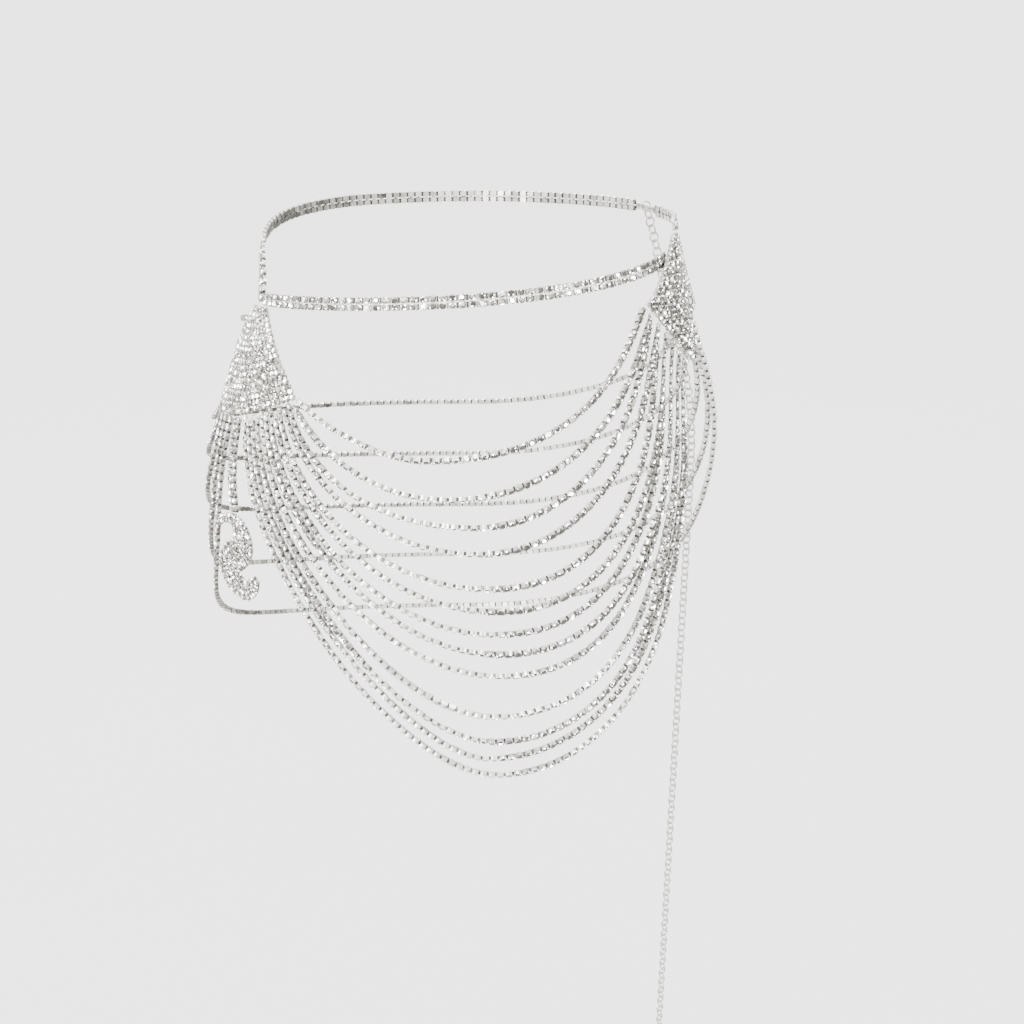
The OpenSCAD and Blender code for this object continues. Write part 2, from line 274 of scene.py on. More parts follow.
@dataclass
class Shape:
    """A small part as arrays, to be copied many times."""

    verts: Array
    loops: Array
    sizes: Array
    mats: Array
    shade: Array

    @staticmethod
    def taken(bm: BMesh) -> "Shape":
        """Reads a bmesh, whose shade layer holds each face's painted shade, and frees it.

        The mesh tools order faces and corners differently on each run, so both are sorted,
        and every face gets the same random draws each time.
        """
        layer = bm.faces.layers.float.get("shade")
        bm.verts.index_update()
        faces = sorted(bm.faces, key=lambda f: sorted(v.index for v in f.verts))
        loops = []
        for f in faces:
            corners = [v.index for v in f.verts]
            first = corners.index(min(corners))
            loops += corners[first:] + corners[:first]
        shape = Shape(
            np.array([v.co for v in bm.verts], float),
            np.array(loops, int),
            np.array([len(f.verts) for f in faces], int),
            np.array([f.material_index for f in faces], int),
            np.array([f[layer] for f in faces], float),
        )
        bm.free()
        return shape


def started() -> BMesh:
    """A bmesh with the layer that its faces keep their shade in."""
    bm = bmesh.new()
    bm.faces.layers.float.new("shade")
    return bm


def marked(bm: BMesh, faces: list, surface: Surface, painted_shade: PaintedShade) -> None:
    """Gives faces their surface and their painted shade."""
    layer = bm.faces.layers.float["shade"]
    for f in faces:
        f.material_index = surface.value
        f[layer] = painted_shade.value


@dataclass(frozen=True)
class Cup:
    """One metal cup with its cut stone.

    Its x runs along the chain and its z is the way that the stone faces. Foot, table and
    girdle are shares of the cup's outline.
    """

    length: float = 4.25
    width: float = 3.5
    depth: float = 2.7
    pitch: float = PITCH
    sides: int = 12
    square: float = 3.6
    linked: bool = True
    foot: float = 0.93
    rim_drop: float = 0.5
    rim_w: float = 0.3
    claw: Triple = (0.62, 0.56, 0.7)
    claw_at: float = 0.36
    claw_drop: float = 0.28
    facets: int = 8
    table: float = 0.5
    table_rise: float = 0.1
    girdle: float = 0.88
    crown_h: float = 0.62
    bar_w: float = 0.78
    bar_h: float = 0.62
    bar_rise: float = 0.1
    overlap: float = 0.3

    def shape(self) -> Shape:
        """Builds the cup.

        Returns:
            The cup, its claws, its stone and the bar to the next cup.
        """
        bm = started()
        self._wall(bm)
        self._claws(bm)
        self._stone(bm)
        if self.linked:
            self._bar(bm)
        return Shape.taken(bm)

    def _formed(self, verts: list, share: float) -> None:
        """Moves a ring of radius 1 onto the cup's squarish outline, at a share of its size."""
        k = self.square
        for v in verts:
            a = math.atan2(v.co.y, v.co.x)
            r = share / (abs(math.cos(a)) ** k + abs(math.sin(a)) ** k) ** (1 / k)
            v.co.x = r * math.cos(a) * self.length / 2
            v.co.y = r * math.sin(a) * self.width / 2

    def _ring(self, bm: BMesh, corners: int, share: float, z: float) -> list:
        """Corners of a new level face at the height z, at a share of the cup's outline."""
        ring = bmesh.ops.create_circle(bm, cap_ends=True, segments=corners, radius=1.0)["verts"]
        bmesh.ops.rotate(bm, verts=ring, matrix=Matrix.Rotation(math.pi / corners, 3, "Z"))
        self._formed(ring, share)
        bmesh.ops.translate(bm, verts=ring, vec=(0, 0, z))
        return ring

    def _block(self, bm: BMesh, at: Triple, size: Triple) -> list:
        """Faces of a new box."""
        matrix = Matrix.Translation(at) @ Matrix.Diagonal((*size, 1))
        made = bmesh.ops.create_cube(bm, size=1.0, matrix=matrix)
        return list({f for v in made["verts"] for f in v.link_faces})

    def _wall(self, bm: BMesh) -> None:
        """The cup's floor, wall and rim."""
        low, top = -self.depth / 2, self.depth / 2 - self.rim_drop
        self._ring(bm, self.sides, self.foot, low)
        raised = bmesh.ops.extrude_face_region(bm, geom=list(bm.faces))["geom"]
        upper = [v for v in raised if isinstance(v, BMVert)]
        roof = [f for f in raised if isinstance(f, BMFace)]
        bmesh.ops.translate(bm, verts=upper, vec=(0, 0, top - low))
        bmesh.ops.scale(bm, verts=upper, vec=(1 / self.foot, 1 / self.foot, 1))
        walls = [f for f in bm.faces if len(f.verts) == 4]
        rim = bmesh.ops.inset_region(bm, faces=roof, thickness=self.rim_w, depth=0.0)["faces"]
        back = [f for f in bm.faces if f not in walls and f not in rim and f not in roof]
        # Painted shade: none on the walls, some on the rim, more on a pavé cup's rim, a little on
        # the back
        marked(bm, walls, Surface.METAL, PaintedShade.OPEN)
        marked(bm, rim, Surface.METAL, PaintedShade.RIM if self.linked else PaintedShade.PAVE_RIM)
        marked(bm, back, Surface.METAL, PaintedShade.BACK)
        bmesh.ops.recalc_face_normals(bm, faces=list(bm.faces))
        bmesh.ops.delete(bm, geom=roof, context="FACES_ONLY")

    def _claws(self, bm: BMesh) -> None:
        """The four small claws over the stone's edge."""
        z = self.depth / 2 - self.claw_drop
        for x in (-1, 1):
            for y in (-1, 1):
                at = (x * self.length * self.claw_at, y * self.width * self.claw_at, z)
                claw = self._block(bm, at, self.claw)
                marked(bm, claw, Surface.METAL, PaintedShade.OPEN)
                bmesh.ops.delete(bm, geom=[f for f in claw if f.normal.z < -0.5], context="FACES")

    def _stone(self, bm: BMesh) -> None:
        """A stone with an eight-sided table and sixteen facets round it."""
        ring = self._ring(bm, self.facets, self.table, self.depth / 2 + self.table_rise)
        table = list(ring[0].link_faces)
        grown = bmesh.ops.extrude_edge_only(bm, edges=list(table[0].edges))["geom"]
        girdle = [v for v in grown if isinstance(v, BMVert)]
        crown = [f for f in grown if isinstance(f, BMFace)]
        turn = Matrix.Rotation(math.pi / self.facets, 3, "Z")
        bmesh.ops.rotate(bm, verts=girdle, matrix=turn)
        self._formed(girdle, self.girdle)
        bmesh.ops.translate(bm, verts=girdle, vec=(0, 0, -self.crown_h))
        stone = table + bmesh.ops.triangulate(bm, faces=crown)["faces"]
        marked(bm, stone, Surface.STONE, PaintedShade.OPEN)
        bmesh.ops.recalc_face_normals(bm, faces=stone)
        if table[0].normal.z < 0:
            bmesh.ops.reverse_faces(bm, faces=stone)

    def _bar(self, bm: BMesh) -> None:
        """The flat bar that links the cup to the next one, behind the stones, in painted shade."""
        deep = self.depth * self.bar_h
        at = (self.pitch / 2, 0, (deep - self.depth) / 2 + self.bar_rise)
        size = (self.pitch - self.length + self.overlap, self.width * self.bar_w, deep)
        marked(bm, self._block(bm, at, size), Surface.METAL, PaintedShade.BAR)


def sheet(across: int, down: int, thick: float, to_point: Callable[..., Array]) -> Shape:
    """A thin curved plate.

    Args:
        across: Squares across it.
        down: Squares down it.
        thick: Its thickness, which grows to the back.
        to_point: Gives the point at a share across and a share down.

    Returns:
        The plate, in place.
    """
    bm = started()
    made = bmesh.ops.create_grid(bm, x_segments=across, y_segments=down, size=0.5)
    for v in made["verts"]:
        v.co = Vector(to_point(v.co.x + 0.5, 0.5 - v.co.y))
    bm.normal_update()
    front = list(bm.faces)
    bmesh.ops.solidify(bm, geom=front, thickness=thick)
    bmesh.ops.recalc_face_normals(bm, faces=list(bm.faces))
    # Painted shade: half on the plate's back and edges, full on its front, between the stones
    marked(bm, list(bm.faces), Surface.METAL, PaintedShade.EDGE)
    marked(bm, [f for f in front if f.is_valid], Surface.METAL, PaintedShade.HIDDEN)
    return Shape.taken(bm)


@dataclass(frozen=True)
class Tones:
    """How painted light goes on each facet, and painted shade and wear on each metal face."""

    # Where the painted light comes from
    light: Triple = (-0.45, -0.5, 0.75)
    stray: float = 0.45
    base: float = -0.04
    gain: float = 0.84
    by_cup: float = 0.06
    by_facet: float = 0.14
    least: float = 0.05
    # By luck a few facets are dark and a few are painted white glints
    dark_below: float = 0.04
    dark: float = 0.08
    white_above: float = 0.88
    worn: Pair = (0.06, 0.12)
    # Painted shade on faces turned away from the painted light
    dim: float = 1.1
    dim_below: float = 0.42

    def glint(self, normals: Array, rng: Generator) -> Array:
        """Painted light and shade by how far each facet faces its own cup's light, and by luck.

        Args:
            normals: Direction of each face of each copy.
            rng: Source of the random parts.

        Returns:
            A tone for each face, from 0 for dark to 1 for white.
        """
        n, faces = normals.shape[:2]
        light = unit(np.array(self.light) + rng.normal(0, self.stray, (n, 3)))
        tone = self.base + self.gain * np.einsum("nfk,nk->nf", normals, light)
        tone = tone + rng.normal(0, self.by_cup, (n, 1)) + rng.normal(0, self.by_facet, (n, faces))
        luck = rng.random((n, faces))
        tone = np.where(luck > self.white_above, 1.0, np.clip(tone, self.least, 1))
        return np.where(luck < self.dark_below, self.dark, tone)

    def shade_and_wear(self, normals: Array, painted_shade: Array, rng: Generator) -> Array:
        """Painted shade and random wear of each metal face.

        Args:
            normals: Direction of each face of each copy.
            painted_shade: The painted shade of each face of the shape.
            rng: Source of the random parts.

        Returns:
            A share from 0 to 1 for each face.
        """
        lit = normals @ unit(np.array(self.light))
        worn = rng.normal(*self.worn, lit.shape)
        # More painted shade on faces turned from the painted light
        dim = self.dim * np.clip(self.dim_below - lit, 0, 1)
        return np.clip(painted_shade[None] + worn + dim, 0, 1)


TONES = Tones()


@dataclass
class PieceMaker:
    """Collects copies of shapes and joins them into one object."""

    name: str
    slot: str
    replaced: tuple[str, ...]
    seed: int
    stones: int = 0
    parts: list[dict[str, Array]] = field(default_factory=list)

    def __post_init__(self) -> None:
        """Starts the piece's own random numbers."""
        self.rng = np.random.default_rng(self.seed)

    def add(self, shape: Shape, spots: Spots | None = None) -> None:
        """Adds one copy of the shape at each spot, or one copy where it lies.

        Args:
            shape: What to copy.
            spots: Where the copies go.
        """
        if spots is None:
            zero, eye = np.zeros((1, 3)), np.eye(3)
            spots = Spots(zero, eye[None, 0], eye[None, 1], eye[None, 2])
        n, m = len(spots.origin), len(shape.verts)
        v = shape.verts
        turned = v[None, :, :1] * spots.ahead[:, None] + v[None, :, 1:2] * spots.side[:, None]
        turned = turned + v[None, :, 2:] * spots.out[:, None] + spots.origin[:, None]
        stone = shape.mats == Surface.STONE.value
        normals = self._normals(turned, shape)
        # Painted light, shade and glints on the stones; painted shade and random wear on the metal
        tone = TONES.glint(normals, self.rng)
        shade = TONES.shade_and_wear(normals, shape.shade, self.rng)
        self.parts.append(
            {
                "verts": turned.reshape(-1, 3),
                "loops": (shape.loops[None] + m * np.arange(n)[:, None]).reshape(-1),
                "sizes": np.tile(shape.sizes, n),
                "mats": np.tile(shape.mats, n),
                "shade": shade.reshape(-1),
                "glint": np.where(stone[None], tone, 0.5).reshape(-1),
            }
        )
        self.stones += n if stone.any() else 0

    def _normals(self, turned: Array, shape: Shape) -> Array:
        """Direction that each face of each copy looks to."""
        first = np.concatenate([[0], np.cumsum(shape.sizes)[:-1]])
        a, b, c = (turned[:, shape.loops[first + k]] for k in range(3))
        return unit(np.cross(b - a, c - a) + 1e-12)

    def finish(self, finishes: tuple["Finish", "Finish"]) -> Object:
        """Joins the copies into an object, dresses it and hangs it on the frame.

        Args:
            finishes: The metal's finish and the stones'.

        Returns:
            The finished object.
        """
        shift = 0
        for part in self.parts:
            part["loops"] = part["loops"] + shift
            shift += len(part["verts"])
        data = {key: np.concatenate([p[key] for p in self.parts]) for key in self.parts[0]}
        mesh = bpy.data.meshes.new(self.name)
        mesh.vertices.add(len(data["verts"]))
        mesh.vertices.foreach_set("co", (data["verts"] * MM).astype(np.float32).reshape(-1))
        mesh.loops.add(len(data["loops"]))
        mesh.loops.foreach_set("vertex_index", data["loops"].astype(np.int32))
        mesh.polygons.add(len(data["sizes"]))
        starts = np.concatenate([[0], np.cumsum(data["sizes"])[:-1]])
        mesh.polygons.foreach_set("loop_start", starts.astype(np.int32))
        mesh.polygons.foreach_set("material_index", data["mats"].astype(np.int32))
        mesh.polygons.foreach_set("use_smooth", np.zeros(len(data["sizes"]), bool))
        for key in ("glint", "shade"):
            layer = mesh.attributes.new(key, "FLOAT", "FACE")
            layer.data.foreach_set("value", data[key].astype(np.float32))
        mesh.update(calc_edges=True)
        mesh.validate()
        for finish in finishes:
            mesh.materials.append(finish.material())
        piece = bpy.data.objects.new(self.name, mesh)
        bpy.context.scene.collection.objects.link(piece)
        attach(piece, BODY)
        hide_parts(*self.replaced)
        LOG.info("%s: %d stones, %d faces", self.name, self.stones, len(data["sizes"]))
        return piece


# Finishes


def node_group(name: str, inputs: dict[str, str], outputs: dict[str, str]) -> NodeTree:
    """An empty shader node group with named sockets.

    Args:
        name: The group's name.
        inputs: Socket names and kinds that go in.
        outputs: Socket names and kinds that come out.

    Returns:
        The group, with its two end nodes in place.
    """
    tree = bpy.data.node_groups.new(name, "ShaderNodeTree")
    for sockets, way in ((inputs, "INPUT"), (outputs, "OUTPUT")):
        for title, kind in sockets.items():
            tree.interface.new_socket(name=title, in_out=way, socket_type="NodeSocket" + kind)
    tree.nodes.new("NodeGroupInput").name = "in"
    tree.nodes.new("NodeGroupOutput").name = "out"
    return tree


def added(tree: NodeTree, kind: str, values: dict | None = None, **traits: object) -> Node:
    """A new shader node.

    Args:
        tree: Where it goes.
        kind: The end of its type's name.
        values: What its inputs are set to, once its traits are set.
        traits: What its other settings are.

    Returns:
        The node.
    """
    node = tree.nodes.new("ShaderNode" + kind)
    for name, value in traits.items():
        setattr(node, name, value)
    for key, value in (values or {}).items():
        node.inputs[key].default_value = value
    return node


def wired(tree: NodeTree, *wires: tuple[Node, str | int, Node, str | int]) -> None:
    """Links an output of one node to an input of another, for each wire."""
    for source, output, target, socket in wires:
        tree.links.new(source.outputs[output], target.inputs[socket])


def ramp(tree: NodeTree, stops: tuple[tuple[float, Triple], ...]) -> Node:
    """A colour ramp node with the given stops."""
    node = added(tree, "ValToRGB")
    band = node.color_ramp
    while len(band.elements) > 1:
        band.elements.remove(band.elements[-1])
    band.elements[0].position = stops[0][0]
    band.elements[0].color = (*stops[0][1], 1)
    for at, colour in stops[1:]:
        band.elements.new(at).color = (*colour, 1)
    return node


RUB_FINENESS = 7.0
# Extra roughness where the tarnish and the painted shade are
TARNISH_AND_SHADE_ROUGHNESS = 0.22
# Colours of a facet's painted tone, from painted shade to white painted glint
FACET_TONES = (
    (0.0, (0.02, 0.02, 0.016)),
    (0.3, (0.07, 0.068, 0.055)),
    (0.62, (0.31, 0.303, 0.27)),
    (1.0, (1.0, 1.0, 0.99)),
)


@cache
def tarnish_and_shade_group() -> NodeTree:
    """The plating's cloudy tarnish with painted shade, and its fine rubbing, built once for every
    metal.

    Returns:
        A group that gives a colour, a roughness and a height.
    """
    colours, numbers = ("Clean", "Tarnish_and_shade_colour"), ("Scale", "Painted_shade_and_wear", "Rough")
    tree = node_group(
        "plating_tarnish_and_shade",
        {"Vector": "Vector", **dict.fromkeys(colours, "Color"), **dict.fromkeys(numbers, "Float")},
        {"Color": "Color", "Roughness": "Float", "Height": "Float"},
    )
    ends, out = tree.nodes["in"], tree.nodes["out"]
    cloud = added(tree, "TexNoise", {"Detail": 4})
    rub = added(tree, "TexNoise", {"Detail": 2})
    finer = added(tree, "Math", {1: RUB_FINENESS}, operation="MULTIPLY")
    spread = added(tree, "MapRange", {"From Min": 0.45, "From Max": 1.3})
    # Cloudy tarnish plus the painted shade, which darken the colour and roughen the metal
    tarnish_and_shade = added(tree, "Math", operation="ADD", use_clamp=True)
    blend = added(tree, "Mix", data_type="RGBA")
    more = added(tree, "Math", {1: TARNISH_AND_SHADE_ROUGHNESS}, operation="MULTIPLY_ADD")
    wired(
        tree,
        (ends, "Vector", cloud, "Vector"),
        (ends, "Vector", rub, "Vector"),
        (ends, "Scale", cloud, "Scale"),
        (ends, "Scale", finer, 0),
        (finer, 0, rub, "Scale"),
        (cloud, "Fac", spread, "Value"),
        (spread, "Result", tarnish_and_shade, 0),
        (ends, "Painted_shade_and_wear", tarnish_and_shade, 1),
        (tarnish_and_shade, 0, blend, "Factor"),
        (ends, "Clean", blend, "A"),
        (ends, "Tarnish_and_shade_colour", blend, "B"),
        (blend, "Result", out, "Color"),
        (tarnish_and_shade, 0, more, 0),
        (ends, "Rough", more, 2),
        (more, 0, out, "Roughness"),
        (rub, "Fac", out, "Height"),
    )
    return tree


@cache
def sparkle_group() -> NodeTree:
    """The painted light, shade and glowing glints of foil-backed facets, built once for every
    stone.

    Returns:
        A group that turns a facet's glint into a colour, a glow and a roughness.
    """
    tree = node_group(
        "facet_sparkle",
        {"Glint": "Float", "Tint": "Color", "Glow": "Float"},
        {"Color": "Color", "Glow": "Color", "Roughness": "Float"},
    )
    ends, out = tree.nodes["in"], tree.nodes["out"]
    body = ramp(tree, FACET_TONES)
    tinted = added(tree, "Mix", {"Factor": 1.0}, data_type="RGBA", blend_type="MULTIPLY")
    # The brightest facets glow as painted glints
    flash = added(tree, "MapRange", {"From Min": 0.9, "From Max": 1.0})
    lit = added(tree, "Math", operation="MULTIPLY")
    gloss = added(tree, "MapRange", {"To Min": 0.22, "To Max": 0.08})
    wired(
        tree,
        (ends, "Glint", body, "Fac"),
        (body, "Color", tinted, "A"),
        (ends, "Tint", tinted, "B"),
        (tinted, "Result", out, "Color"),
        (ends, "Glint", flash, "Value"),
        (flash, "Result", lit, 0),
        (ends, "Glow", lit, 1),
        (lit, 0, out, "Glow"),
        (ends, "Glint", gloss, "Value"),
        (gloss, "Result", out, "Roughness"),
    )
    return tree


@dataclass(frozen=True)
class Finish:
    """A material that is built when it is first asked for."""

    title: str

    @cache
    def material(self) -> Material:
        """The material, built once."""
        material = bpy.data.materials.new(self.title)
        material.use_nodes = True
        tree = material.node_tree
        self.paint(tree, tree.nodes["Principled BSDF"])
        return material

    def paint(self, tree: NodeTree, main: Node) -> None:
        """Adds the finish's own nodes round the main shader."""
        raise NotImplementedError


@dataclass(frozen=True)
class MetalFinish(Finish):
    """Silver plating with tarnish and painted shade; metals differ in how light and dark they are.
    """

    clean: Triple = (0.68, 0.67, 0.64)
    # Colour that tarnish and painted shade darken the metal towards
    tarnished_and_shaded: Triple = (0.045, 0.042, 0.033)
    metallic: float = 0.8
    rough: float = 0.22
    scale: float = 160.0
    bump: float = 0.12
    bump_m: float = 0.0001

    def paint(self, tree: NodeTree, main: Node) -> None:
        """Adds the tarnish, the painted shade and the fine bumps."""
        main.inputs["Metallic"].default_value = self.metallic
        clean, tarnished_and_shaded = (*self.clean, 1), (*self.tarnished_and_shaded, 1)
        values = {"Clean": clean, "Tarnish_and_shade_colour": tarnished_and_shaded, "Scale": self.scale, "Rough": self.rough}
        where = added(tree, "TexCoord")
        shade = added(tree, "Attribute", attribute_name="shade")
        group = added(tree, "Group", values, node_tree=tarnish_and_shade_group())
        bump = added(tree, "Bump", {"Strength": self.bump, "Distance": self.bump_m})
        wired(
            tree,
            (where, "Object", group, "Vector"),
            (shade, "Fac", group, "Painted_shade_and_wear"),
            (group, "Color", main, "Base Color"),
            (group, "Roughness", main, "Roughness"),
            (group, "Height", bump, "Height"),
            (bump, "Normal", main, "Normal"),
        )


@dataclass(frozen=True)
class StoneFinish(Finish):
    """Clear cut stones on bright foil, in painted light and shade with glowing painted glints."""

    tint: Triple = (1.0, 0.995, 0.98)
    # How strongly the painted glints glow
    glow: float = 10.0
    metallic: float = 0.55
    coat: float = 0.3
    coat_rough: float = 0.03

    def paint(self, tree: NodeTree, main: Node) -> None:
        """Adds the sparkle."""
        main.inputs["Metallic"].default_value = self.metallic
        main.inputs["Coat Weight"].default_value = self.coat
        main.inputs["Coat Roughness"].default_value = self.coat_rough
        main.inputs["Emission Strength"].default_value = 1.0
        values = {"Tint": (*self.tint, 1), "Glow": self.glow}
        glint = added(tree, "Attribute", attribute_name="glint")
        group = added(tree, "Group", values, node_tree=sparkle_group())
        wired(
            tree,
            (glint, "Fac", group, "Glint"),
            (group, "Color", main, "Base Color"),
            (group, "Glow", main, "Emission Color"),
            (group, "Roughness", main, "Roughness"),
        )


@dataclass(frozen=True)
class PaperFinish(Finish):
    """Pale paper that glows by itself, so that it needs few lamps."""

    tone: Triple = (0.80, 0.80, 0.79)
    glow: float = 3.5
    base: Triple = (0.12, 0.12, 0.12)
    rough: float = 0.9
    grain: float = 3.0
    darker: float = 0.985

    def paint(self, tree: NodeTree, main: Node) -> None:
        """Adds the faint clouds in the paper."""
        main.inputs["Roughness"].default_value = self.rough
        main.inputs["Base Color"].default_value = (*self.base, 1)
        main.inputs["Emission Strength"].default_value = self.glow
        grain = added(tree, "TexNoise", {"Scale": self.grain})
        where = added(tree, "TexCoord")
        dim = tuple(c * self.darker for c in self.tone)
        tone = ramp(tree, ((0.3, dim), (0.7, self.tone)))
        wired(
            tree,
            (where, "Object", grain, "Vector"),
            (grain, "Fac", tone, "Fac"),
            (tone, "Color", main, "Emission Color"),
        )


# Each metal: its clean colour and the darker colour of its tarnish and painted shade
CUP_METAL = MetalFinish("silver_cups")
PAVE_METAL = MetalFinish("silver_pave", tarnished_and_shaded=(0.10, 0.09, 0.07), rough=0.26, scale=220.0)
CLASP_METAL = MetalFinish(
    "silver_clasp",
    clean=(0.40, 0.39, 0.37),
    tarnished_and_shaded=(0.12, 0.115, 0.10),
    rough=0.24,
    scale=90.0,
    bump=0.05,
)
LINK_METAL = MetalFinish(
    "silver_links",
    clean=(0.34, 0.33, 0.315),
    tarnished_and_shaded=(0.08, 0.077, 0.065),
    rough=0.26,
    scale=120.0,
    bump=0.08,
)
CHAIN_STONES = StoneFinish("clear_stones")
PAVE_STONES = StoneFinish("clear_pave_stones", tint=(0.97, 0.965, 0.93))
PAPER = PaperFinish("pale_paper")


# The jewel


@dataclass(frozen=True)
class FanPlan:
    """The outline of a hip fan, as the frame's solid has it."""

    hip: Hip
    edge: Table
    top: Table
    bow: Pair
    clear: float
    low_t: float
    fan_t: float = 2.6
    lift: float = 0.7

    def place(self, u: float, v: float, outer: bool) -> Array:
        """A place on the fan.

        Args:
            u: Share from the front edge to the rear edge.
            v: Share from the upper edge to the lower edge.
            outer: True for the face with the stones.

        Returns:
            Angle, height and lift.
        """
        low = along(self.edge, u * (len(self.edge) - 1))
        high = mix(np.asarray(self.top[0]), np.asarray(self.top[1]), u)
        inner = mix(self.clear, self.lift, max(v**4, smooth(2.5 * (u - 0.2))))
        thick = mix(self.fan_t, self.low_t, v * v * (1 - smooth(5 * (u - 0.36))))
        angle = mix(high[0], low[0], v) - mix(*self.bow, u) * BOW_SCALE * v * (1 - v) ** 2
        return np.array([angle, mix(high[1], low[1] * DROP, v), inner + (thick if outer else 0)])


# The fans' lower edges from front to rear: angle, and height as a share of DROP
EDGE_LEFT = (
    (-43.5, -0.196), (-51.5, -0.221), (-59.5, -0.247), (-65.5, -0.256), (-70, -0.259),
    (-74, -0.253),
)
EDGE_RIGHT = (
    (55.5, -0.018), (61.5, -0.083), (67.5, -0.146), (71, -0.066), (81, -0.05), (93, -0.042),
    (107, -0.025),
)
FAN_LEFT = FanPlan(Hip.LEFT, EDGE_LEFT, ((-63.5, -9.3), (-70, -9.3)), (0.2, 5.0), 0.7, 2.6)
FAN_RIGHT = FanPlan(Hip.RIGHT, EDGE_RIGHT, ((72.5, 27.5), (80.5, 28.3)), (0.0, 0.0), 3.6, 5.2)


@dataclass
class HipFan:
    """A plate in the shape of a fan, paved with stones that run down it in columns."""

    plan: FanPlan
    seed: int
    gap: float = 3.45
    row_gap: float = 3.5
    squares: tuple[int, int] = (36, 24)
    plate_t: float = 0.5
    sink: float = 1.0
    plate_sink: float = 1.9
    plate_lift: float = 0.55
    uneven: float = 0.16
    tilt: float = 8.0

    def build(self) -> Object:
        """Builds the fan.

        Returns:
            The finished piece.
        """
        name = "hip_fan_" + self.plan.hip.value
        maker = PieceMaker(name + "_pave", "pave", (name,), self.seed)
        maker.add(sheet(*self.squares, self.plate_t, self._plate_point))
        cup = Cup(length=3.5, width=3.4, depth=1.9, sides=8, linked=False)
        maker.add(cup.shape(), self._spots(maker.rng).shaken(maker.rng, self.tilt))
        return maker.finish((PAVE_METAL, PAVE_STONES))

    def _plate_point(self, u: float, v: float) -> Array:
        """A point of the plate, a little behind the stones."""
        u, v = mix(0.02, 0.98, u), mix(0.02, 0.97, v)
        inner, outer = self.plan.place(u, v, False), self.plan.place(u, v, True)
        inner[2] = max(inner[2] + self.plate_lift, outer[2] - self.plate_sink)
        return FORM.points(inner)

    def _spots(self, rng: Generator) -> Spots:
        """Spots of the stones, in rows from the upper edge to the lower edge."""
        spine = Route(np.array([self.plan.place(0.5, v, True) for v in np.linspace(0, 1, 30)]))
        rows = int(round(spine.length / self.row_gap))
        origin, ahead, out = [], [], []
        for r in range(rows):
            v = (r + 0.5) / rows
            line = Route(np.array([self.plan.place(u, v, True) for u in np.linspace(0, 1, 60)]))
            n = max(2, int(round(line.length / self.gap)))
            s = (np.arange(n) + 0.5) * line.length / n + rng.normal(0, self.uneven, n)
            places = line.place(s)
            places[:, 2] -= self.sink
            lower = places + np.array([0, -1.0, 0])
            points = FORM.points(places)
            origin.append(points)
            ahead.append(unit(FORM.points(lower) - points))
            out.append(FORM.normals(places))
        origin, ahead, out = (np.concatenate(a) for a in (origin, ahead, out))
        side = unit(np.cross(out, ahead))
        return Spots(origin, np.cross(side, out), side, out)


@dataclass(frozen=True)
class Hang:
    """How strands hang from a fan: each pair is for the top strand and the bottom one."""

    edge: Table
    seats: Pair
    inset: Pair
    lean: Pair
    around: float = 0.0

    def half(self, low: list[float], belly: float, s: float) -> list[list[float]]:
        """Half of a strand.

        Args:
            low: Angle and height of its lowest point.
            belly: How level it leaves that point, as a share of the way.
            s: Which strand it is, from 0 for the top one to 1 for the bottom one.

        Returns:
            Control points from the lowest point up to the seat on the fan.
        """
        seat = along(self.edge, mix(*self.seats, s))
        top = [seat[0] + self.around, seat[1] * DROP]
        turn = [mix(top[0], low[0], mix(*self.inset, s)), mix(top[1], low[1], mix(*self.lean, s))]
        return [low, [mix(low[0], top[0], belly), low[1]], turn, top]


FRONT_LEFT = Hang(EDGE_LEFT, (0, 1.94), (0.06, 0.12), (0.16, 0.38))
FRONT_RIGHT = Hang(EDGE_RIGHT, (0.08, 1.92), (0.26, 0.32), (0.6, 0.1))
BACK_LEFT = Hang(EDGE_LEFT, (4.95, 2.95), (0, 0), (0.4, 0.5))
BACK_RIGHT = Hang(EDGE_RIGHT, (5.9, 5.3), (0, 0), (0.45, 0.45), -360)
# The strands, top ones first: how low they hang, at which angle, and the bellies of the left
# half and the right one, which are alike behind
FRONT_SWAGS = (
    (0.293, -8, 0.34, 0.52), (0.367, -2, 0.52, 0.50), (0.422, 6, 0.68, 0.48),
    (0.476, 7, 0.58, 0.56), (0.550, 11, 0.62, 0.68), (0.600, 13, 0.58, 0.74),
    (0.650, 13, 0.58, 0.80), (0.695, 14, 0.54, 0.86), (0.745, 15, 0.56, 0.86),
    (0.843, 12, 0.44, 0.94), (0.908, 12, 0.40, 0.98), (0.953, 10, 0.32, 1.02),
    (1.000, 13, 0.38, 1.06),
)
BACK_SWAGS = (
    (0.38, -177, 0.60), (0.53, -177, 0.70), (0.68, -176, 0.80), (0.83, -176, 0.90),
    (0.98, -176, 0.92),
)


